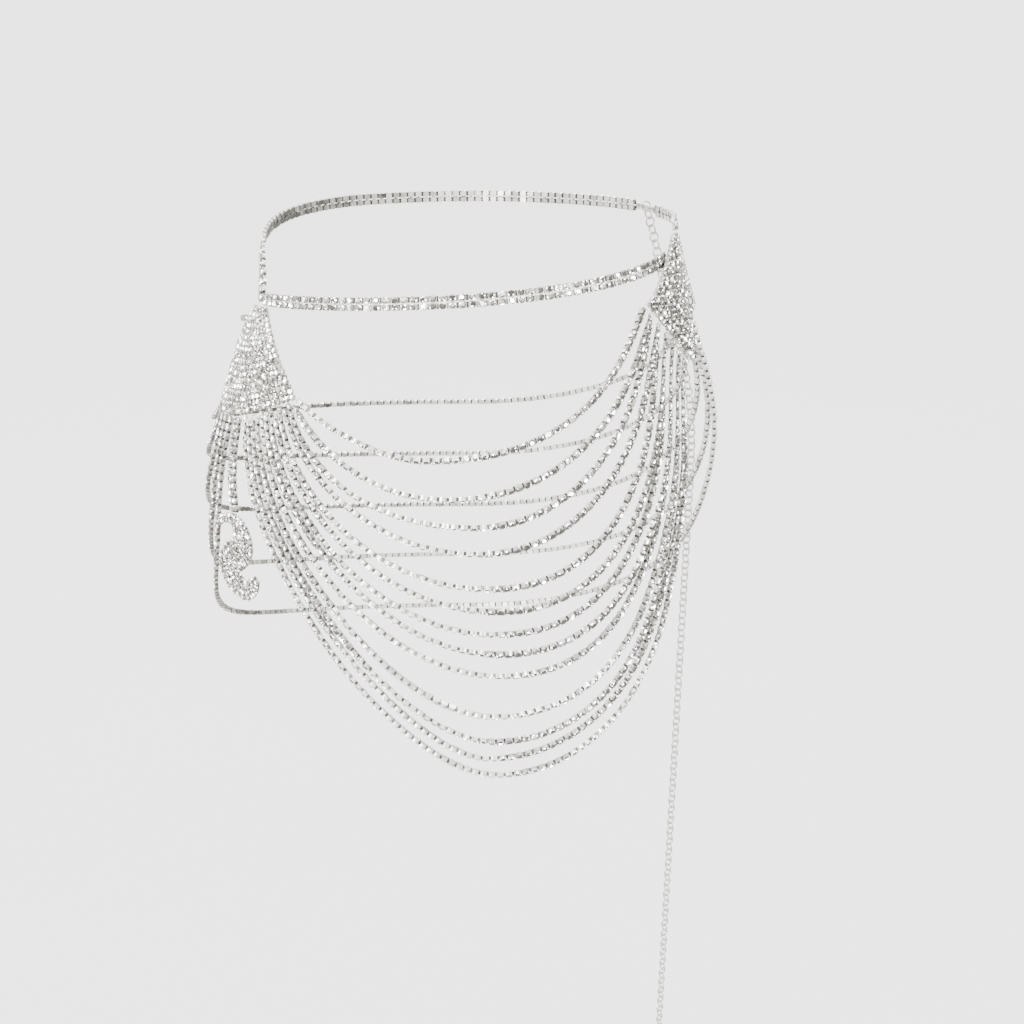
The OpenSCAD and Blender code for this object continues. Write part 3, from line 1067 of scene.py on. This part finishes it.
@dataclass
class Swags:
    """The strands of cup chain that hang between the fans, in front and behind."""

    layer: float = 2.6
    inset: float = 2.0
    level_z: float = -52.0
    front_roll: Triple = (12, 64, 14)
    right_edge: float = -2.0
    right_fade: float = 24.0
    left_edges: Pair = (-42.0, -34.0)
    top_left_edge: float = -90.0
    left_fade: float = 20.0
    back_roll: float = 4.0
    tilt: float = 3.0
    wander: float = 2.0
    slack: float = 0.3
    full_gap: Pair = (3.7, 3.0)
    beside: float = 2.6
    least: float = 0.5

    def __post_init__(self) -> None:
        """Makes the cups that every strand is made of."""
        self.cup = Cup().shape()
        self.end_cup = Cup(linked=False).shape()

    def build(self) -> list[Object]:
        """Builds every strand.

        Returns:
            The finished strands, front ones first.
        """
        fronts = [self.front_route(i) for i in range(len(FRONT_SWAGS))]
        backs = [self.back_route(i) for i in range(len(BACK_SWAGS))]
        lines = [FORM.points(r.place(np.arange(1.0, r.length, 1.0))) for r in fronts + backs]
        made = []
        for i, route in enumerate(fronts + backs):
            k = i - len(fronts)
            if k < 0:
                name, seed = "front_swag_%02d" % (i + 1), 40 + i
                s = self._rungs(route, i % 2 * PITCH / 2)
                roll = self._roll(route, s, i)
            else:
                name, seed = "back_swag_%02d" % (k + 1), 70 + k
                s = self._spaced(SEAT + self.inset, route.length - SEAT - self.inset)
                roll = np.full(len(s), self.back_roll)
            maker = PieceMaker(name + "_cups", "cup_chain", (name,), seed)
            others = np.concatenate(lines[:i] + lines[i + 1 :])
            made.append(self._strand(maker, route.spots(s), roll, others))
        return made

    def front_route(self, i: int) -> Route:
        """Route of a front strand, top one first."""
        s = i / (len(FRONT_SWAGS) - 1)
        depth, angle, left, right = FRONT_SWAGS[i]
        low = [angle, -depth * DROP]
        halves = FRONT_LEFT.half(low, left, s), FRONT_RIGHT.half(low, right, s)
        return self._joined(*halves, self.layer if i % 2 else 0.0)

    def back_route(self, i: int) -> Route:
        """Route of a back strand, top one first."""
        s = i / (len(BACK_SWAGS) - 1)
        depth, angle, belly = BACK_SWAGS[i]
        low = [angle, -depth * DROP]
        return self._joined(BACK_LEFT.half(low, belly, s), BACK_RIGHT.half(low, belly, s), 0.0)

    def _joined(self, left: list, right: list, layer: float) -> Route:
        """The two halves as one route from left to right."""
        a, b = bezier(left, 90)[::-1], bezier(right, 90)
        s = np.linspace(0, 1, 90)
        a = np.column_stack([a, np.full(90, LIFT)])
        b = np.column_stack([b, LIFT + layer * s * s])
        return Route(np.concatenate([a[:-1], b]))

    def _spaced(self, first: float, last: float) -> Array:
        """Distances from first to last, about a pitch apart."""
        return np.linspace(first, last, round((last - first) / PITCH) + 1)

    def _rungs(self, route: Route, late: float) -> Array:
        """Distances of the cups, level at the right hip and staggered at the left one.

        Args:
            route: Where the strand hangs.
            late: How much later than its neighbours the strand's first cup comes.

        Returns:
            The distances along the route.
        """
        s = np.linspace(route.length * 0.6, route.length, 400)
        level = np.interp(self.level_z, route.place(s)[:, 1], s)
        before = self._spaced(SEAT + self.inset + late, level)
        after = self._spaced(level, route.length - SEAT - self.inset)
        return np.concatenate([before[:-1], after])

    def _roll(self, route: Route, s: Array, i: int) -> Array:
        """How far each cup's stone has rolled to face down, in degrees."""
        share = i / (len(FRONT_SWAGS) - 1)
        angle = route.place(s)[:, 0]
        right = 1 - smooth((angle - self.right_edge) / self.right_fade)
        edge = self.top_left_edge if i == 0 else mix(*self.left_edges, share)
        left = smooth((angle - edge) / self.left_fade)
        least, middle, at_left = self.front_roll
        return least + middle * right * left + at_left * (1 - left)

    def _strand(self, maker: PieceMaker, spots: Spots, roll: Array, others: Array) -> Object:
        """One strand.

        Args:
            maker: The piece to make it in.
            spots: Where its cups sit.
            roll: How far each of them has rolled.
            others: Points along the other strands.

        Returns:
            The finished strand.
        """
        wander = np.cumsum(maker.rng.normal(0, self.wander, len(roll)))
        wander -= np.linspace(wander[0], wander[-1], len(roll))
        spots = spots.rolled(roll + wander).shaken(maker.rng, self.tilt)
        spots = spots.narrowed(self._room(spots, others))
        maker.add(self.cup, spots.part(slice(0, -1)))
        maker.add(self.end_cup, spots.part(slice(-1, None)))
        return maker.finish((CUP_METAL, CHAIN_STONES))

    def _room(self, spots: Spots, others: Array) -> Array:
        """How narrow each cup must be to stay clear of the other strands.

        Args:
            spots: Where the cups sit.
            others: Points along the other strands.

        Returns:
            A share of the cup's own width for each cup.
        """
        away = others[None] - spots.origin[:, None]
        axes = (spots.ahead, spots.side, spots.out)
        level, across, deep = (np.abs(np.einsum("npk,nk->np", away, axis)) for axis in axes)
        wide, thick = self.full_gap
        share = np.maximum((across - self.slack) / wide, (deep - self.slack) / thick)
        return np.clip(np.where(level < self.beside, share, 1.0).min(1), self.least, 1.0)


@dataclass
class Band:
    """Rows of cups side by side along one route: the belt's lengths and the free ends."""

    name: str
    places: Array
    seed: int
    rows: int = 2
    pitch: float = PITCH
    gap: float = 0.9
    depth: float = 2.2
    tilt: float = 4.0

    def build(self) -> Object:
        """Builds the band.

        Returns:
            The finished piece.
        """
        maker = PieceMaker(self.name + "_cups", "cup_chain", (self.name,), self.seed)
        route = Route(self.places)
        spots = route.spots(route.even(self.pitch))
        cup = Cup(length=self.pitch - self.gap, depth=self.depth, pitch=self.pitch).shape()
        for r in range(self.rows):
            row = spots.shifted((r - (self.rows - 1) / 2) * ROW_W)
            maker.add(cup, row.shaken(maker.rng, self.tilt))
        return maker.finish((CUP_METAL, CHAIN_STONES))


@dataclass
class Belt:
    """The two-row belt: its front, its back and its short length behind the right hip."""

    left_z: float = -5.2
    right_z: float = 16.6
    evenness: float = 0.48
    back_z: float = 44.0

    def build(self) -> list[Object]:
        """Builds the three lengths.

        Returns:
            The finished pieces.
        """
        lengths = (
            Band("belt_front", self.front_places(), 11),
            Band("belt_back", self.back_places(), 12),
            Band("belt_side", self.side_places(), 13),
        )
        return [band.build() for band in lengths]

    def front_places(self) -> Array:
        """Places along the front."""
        s = np.linspace(0, 1, 80)
        climb = mix(s**5, s, self.evenness)
        height = mix(self.left_z, self.right_z, climb)
        return np.column_stack([mix(-66.0, 69.5, s), height, np.full(80, LIFT)])

    def back_places(self) -> Array:
        """Places from the left hip up and round the back."""
        z = self.back_z
        rise = bezier([[-68.3, -7.3], [-69.2, 5], [-76, z - 8], [-132, z - 2]], 70)
        round_back = bezier([[-132, z - 2], [-172, z + 1], [-215, z], [-244, z - 4]], 70)
        line = np.concatenate([rise[:-1], round_back])
        return np.column_stack([line, np.full(len(line), LIFT)])

    def side_places(self) -> Array:
        """Places of the short length that meets the closure."""
        line = np.linspace([80.4, 32.5], [105.2, self.back_z - 6.5], 20)
        return np.column_stack([line, np.full(20, LIFT)])


@dataclass
class FreeEnds:
    """The drop band, the stub and the tail."""

    scroll_h: float = 50.0
    tail_len: float = 17.0
    stub_len: float = 12.0
    pitch: float = 4.2
    stub_pitch: float = 4.0

    def build(self) -> list[Object]:
        """Builds the three pieces.

        Returns:
            The finished pieces.
        """
        ends = (
            Band("drop_band_left", self.drop_places(), 21, pitch=self.pitch),
            Band("tail_band_right", self.tail_places(), 22, pitch=self.pitch),
            Band("stub_left", self.stub_places(), 23, rows=1, pitch=self.stub_pitch),
        )
        return [band.build() for band in ends]

    def drop_places(self) -> Array:
        """Places of the band that carries the scroll."""
        seat = along(EDGE_LEFT, 2.45)
        top = np.array([seat[0], seat[1] * DROP - SEAT - 0.2])
        end = np.array([-59.1, -0.55 * DROP + self.scroll_h * 0.5 + 0.4])
        middle = np.array([mix(top[0], end[0], 0.4), mix(top[1], end[1], 0.5)])
        s = np.linspace(0, 1, 30)[:, None]
        line = mix(mix(top, middle, s), mix(middle, end, s), s)
        return np.column_stack([line, np.full(30, LIFT)])

    def tail_places(self) -> Array:
        """Places of the free tail."""
        seat = along(EDGE_RIGHT, 3.4)
        top = np.array([seat[0] - 1.2, seat[1] * DROP - SEAT - 1.4])
        line = np.linspace(top, top - np.array([1.9, self.tail_len]), 12)
        return np.column_stack([line, np.linspace(LIFT, LIFT + 0.6, 12)])

    def stub_places(self) -> Array:
        """Places of the stub that points to the rear."""
        top = FAN_LEFT.place(1.0, 0.14, False)
        w = FORM.half_width(top[1])
        a = math.radians(top[0])
        degree = math.pi / 180 / math.hypot(math.sin(a) / w, math.cos(a) / (FORM.depth_share * w))
        s = np.linspace(0, 1, 8)
        angle = top[0] - (2.3 + self.stub_len * s) / degree
        lift = FAN_LEFT.lift + FAN_LEFT.fan_t / 2 + 2 * s
        return np.column_stack([angle, top[1] - 2 * s, lift])


# The scroll's middle line from its upper curl to its lower one: across, up and half width,
# as shares of the scroll's height and of a row's width
SCROLL_LINE = (
    (-0.40, 0.18, 0.55), (-0.34, 0.30, 0.7), (-0.20, 0.39, 0.8), (-0.02, 0.42, 0.9),
    (0.10, 0.36, 1.8), (0.17, 0.25, 2.5), (0.17, 0.12, 2.6), (0.04, 0.01, 2.6),
    (-0.12, -0.09, 2.7), (-0.18, -0.20, 2.7), (-0.10, -0.30, 2.4), (0.04, -0.37, 2.0),
    (0.20, -0.38, 1.6), (0.33, -0.29, 1.3), (0.41, -0.18, 0.7),
)


@dataclass
class ScrollDrop:
    """The mirrored S that hangs from the drop band, paved all over."""

    height: float = 50.0
    thick: float = 2.2
    gap: float = 3.0
    clear: float = 2.85
    edge: float = 1.55
    sink: float = 0.9
    tilt: float = 9.0
    squares: tuple[int, int] = (60, 2)
    plate_t: float = 0.6
    place: Triple = (-59.0, -143.0, 2.3)
    middle: Table = SCROLL_LINE

    def __post_init__(self) -> None:
        """Works out the scroll's place, the way that it faces, its width and its height."""
        where = np.array([self.place])
        self.base, self.out = FORM.points(where)[0], FORM.normals(where)[0]
        self.across = unit(np.cross([0.0, 0, 1], self.out))
        self.up = np.cross(self.out, self.across)

    def build(self) -> Object:
        """Builds the scroll.

        Returns:
            The finished piece.
        """
        maker = PieceMaker("scroll_drop_pave", "pave", ("scroll_drop",), 31)
        maker.add(sheet(*self.squares, self.plate_t, self._plate_point))
        flat = self._stones(maker.rng)
        n = len(flat)
        out = np.repeat(self.out[None], n, 0)
        spin = maker.rng.uniform(0, 2 * math.pi, n)[:, None]
        ahead = self.across * np.cos(spin) + self.up * np.sin(spin)
        origin = self._points(flat, self.thick / 2 - self.sink)
        spots = Spots(origin, ahead, np.cross(out, ahead), out)
        cup = Cup(length=3.1, width=3.0, depth=1.7, sides=8, linked=False)
        maker.add(cup.shape(), spots.shaken(maker.rng, self.tilt))
        return maker.finish((PAVE_METAL, PAVE_STONES))

    def _spline(self, e: float) -> Array:
        """The middle line and half width at the row number e."""
        rows = np.asarray(self.middle)
        i = min(int(math.floor(e)), len(rows) - 2)
        s = e - i
        a, b, c, d = rows[max(i - 1, 0)], rows[i], rows[i + 1], rows[min(i + 2, len(rows) - 1)]
        square, cube = 2 * a - 5 * b + 4 * c - d, 3 * b - a - 3 * c + d
        return 0.5 * (2 * b + (c - a) * s + square * s**2 + cube * s**3)

    def _bend(self, e: float) -> float:
        """Curvature of the middle line, positive where it turns towards the positive side."""
        last = len(self.middle) - 1
        near = (min(max(e + step, 0), last) for step in (-0.2, 0.0, 0.2))
        a, b, c = (self._spline(k)[:2] * self.height for k in near)
        p, q = b - a, c - b
        turn = math.atan2(p[0] * q[1] - p[1] * q[0], p @ q)
        return turn / max((np.linalg.norm(p) + np.linalg.norm(q)) / 2, 0.1)

    def _beside(self, e: float, share: float) -> Array:
        """A point beside the middle line, at a share of the half width."""
        last = len(self.middle) - 1
        d = self._spline(min(e + 0.1, last))[:2] - self._spline(max(e - 0.1, 0))[:2]
        d = d / np.linalg.norm(d)
        here = self._spline(e)
        return here[:2] * self.height + share * here[2] * ROW_W * np.array([-d[1], d[0]])

    def _points(self, flat: Array, lift: float) -> Array:
        """Points of the scroll's plane moved to where the scroll hangs."""
        return self.base + flat[:, :1] * self.across + flat[:, 1:] * self.up + lift * self.out

    def _plate_point(self, u: float, v: float) -> Array:
        """A point of the plate under the stones."""
        e = u * (len(self.middle) - 1)
        bend = self._bend(e)
        share = (1 - 2 * v) * 0.92
        reach = self._spline(e)[2] * ROW_W
        if share * bend > 0:
            share = min(abs(share), 0.9 / (abs(bend) * reach)) * math.copysign(1, share)
        flat = self._beside(e, share)
        return self._points(flat[None], -self.thick / 2 + 0.7)[0]

    def _stones(self, rng: Generator) -> Array:
        """Places of the stones in the scroll's plane, packed without overlap."""
        kept: list[Array] = []
        last = len(self.middle) - 1
        for e in np.linspace(0, last, 240):
            half = max(self._spline(e)[2] * ROW_W - self.edge, 0)
            count = int(round(2 * half / self.gap)) + 1
            for k in range(count):
                offset = 0 if count == 1 else (2 * k / (count - 1) - 1) * half
                share = offset / (self._spline(e)[2] * ROW_W)
                spot = self._beside(e, share) + rng.normal(0, 0.05, 2)
                if all(np.hypot(*(spot - q)) > self.clear for q in kept):
                    kept.append(spot)
        return np.array(kept)


@dataclass(frozen=True)
class PlainParts:
    """The frame's own clasp, tabs, rings and links, which only need their metal."""

    clasp: tuple[str, ...] = ("belt_end_tab", "side_end_tab", "clasp")
    links: tuple[str, ...] = ("clasp_ring_belt", "clasp_ring_side", "extension_chain")

    def dress(self) -> None:
        """Gives each of them its metal."""
        for names, finish in ((self.clasp, CLASP_METAL), (self.links, LINK_METAL)):
            for name in names:
                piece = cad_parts[name]
                for held in piece.material_slots:
                    held.material = finish.material()
                if not piece.material_slots:
                    piece.data.materials.append(finish.material())
                LOG.info("%s: %s", name, finish.title)


# The studio


@dataclass(frozen=True)
class Lamp:
    """A square lamp."""

    at: Triple
    size: float
    watts: float


LAMPS = (
    Lamp((-1.3, -1.5, 1.3), 0.9, 62.0),
    Lamp((1.5, -1.1, 0.9), 0.6, 18.0),
    Lamp((0.1, -0.5, 2.0), 0.9, 56.0),
    Lamp((0.6, 1.8, 1.3), 1.0, 40.0),
    Lamp((-1.8, 0.9, 0.8), 0.7, 18.0),
    Lamp((-0.5, -1.7, 0.2), 0.16, 6.0),
    Lamp((0.7, -1.6, 0.5), 0.14, 6.0),
    Lamp((-0.4, -1.5, -0.3), 0.5, 13.0),
)


@dataclass(frozen=True)
class Studio:
    """A pale sweep, soft lamps and the camera."""

    floor_z: float = -0.66
    radius: float = 3.4
    steps: int = 48
    aim: Triple = (0.0, 0.0, -0.12)
    sky: Triple = (0.86, 0.88, 0.92)
    eye: Triple = (0.0235, -0.620, 0.069)
    pitch: float = 18.8
    focal_px: float = 1050.0
    picture_px: float = 1024.0
    sensor_mm: float = 36.0

    def build(self) -> None:
        """Builds the sweep, the lamps, the sky and the camera."""
        self._sweep()
        self._lamps()
        self._sky()
        self._camera()

    def _sweep(self) -> None:
        """A round floor that curves up into a wall."""
        bm = bmesh.new()
        wall = self.radius + 1.0
        curve = ((self.radius, 0.0), (self.radius + 0.7, 0.25), (wall, 1.0))
        line = ((0.02, 0.0), *curve, (wall, 4.0))
        ring = [bm.verts.new((x, 0, self.floor_z + z)) for x, z in line]
        edges = [bm.edges.new(pair) for pair in zip(ring, ring[1:])]
        turn = {"angle": 2 * math.pi, "steps": self.steps, "use_merge": True}
        bmesh.ops.spin(bm, geom=ring + edges, cent=(0, 0, 0), axis=(0, 0, 1), **turn)
        hole = [e for e in bm.edges if e.is_boundary]
        bmesh.ops.holes_fill(bm, edges=hole, sides=self.steps)
        bmesh.ops.recalc_face_normals(bm, faces=list(bm.faces))
        if bm.faces[0].normal.z < 0:
            bmesh.ops.reverse_faces(bm, faces=list(bm.faces))
        mesh = bpy.data.meshes.new("pale_sweep")
        bm.to_mesh(mesh)
        bm.free()
        for f in mesh.polygons:
            f.use_smooth = True
        material = PAPER.material()
        material.cycles.emission_sampling = "NONE"
        mesh.materials.append(material)
        sweep = bpy.data.objects.new("pale_sweep", mesh)
        bpy.context.scene.collection.objects.link(sweep)

    def _lamps(self) -> None:
        """Large soft lamps, and small ones that make the facets flash."""
        for k, lamp in enumerate(LAMPS):
            data = bpy.data.lights.new("lamp_%d" % k, "AREA")
            data.size, data.energy = lamp.size, lamp.watts
            light = bpy.data.objects.new("lamp_%d" % k, data)
            light.location = lamp.at
            aim = Vector(self.aim) - Vector(lamp.at)
            light.rotation_euler = aim.to_track_quat("-Z", "Y").to_euler()
            bpy.context.scene.collection.objects.link(light)

    def _sky(self) -> None:
        """An even pale sky."""
        world = bpy.data.worlds.new("pale_sky")
        world.use_nodes = True
        main = world.node_tree.nodes["Background"]
        main.inputs["Color"].default_value = (*self.sky, 1)
        main.inputs["Strength"].default_value = 1.0
        bpy.context.scene.world = world

    def _camera(self) -> None:
        """The camera at the picture's angle."""
        data = bpy.data.cameras.new("camera")
        data.sensor_width = self.sensor_mm
        data.lens = self.sensor_mm * self.focal_px / self.picture_px
        data.clip_start = 0.01
        eye = bpy.data.objects.new("camera", data)
        eye.location = self.eye
        eye.rotation_euler = (math.radians(90 - self.pitch), 0, 0)
        bpy.context.scene.collection.objects.link(eye)
        bpy.context.scene.camera = eye


def main() -> None:
    """Builds the jewel piece by piece."""
    Studio().build()
    Belt().build()
    HipFan(FAN_LEFT, seed=2).build()
    HipFan(FAN_RIGHT, seed=3).build()
    Swags().build()
    FreeEnds().build()
    ScrollDrop().build()
    PlainParts().dress()
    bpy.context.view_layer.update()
    LOG.info("all pieces are built")


if __name__ == "__main__":
    logging.basicConfig(level=logging.INFO)
    main()
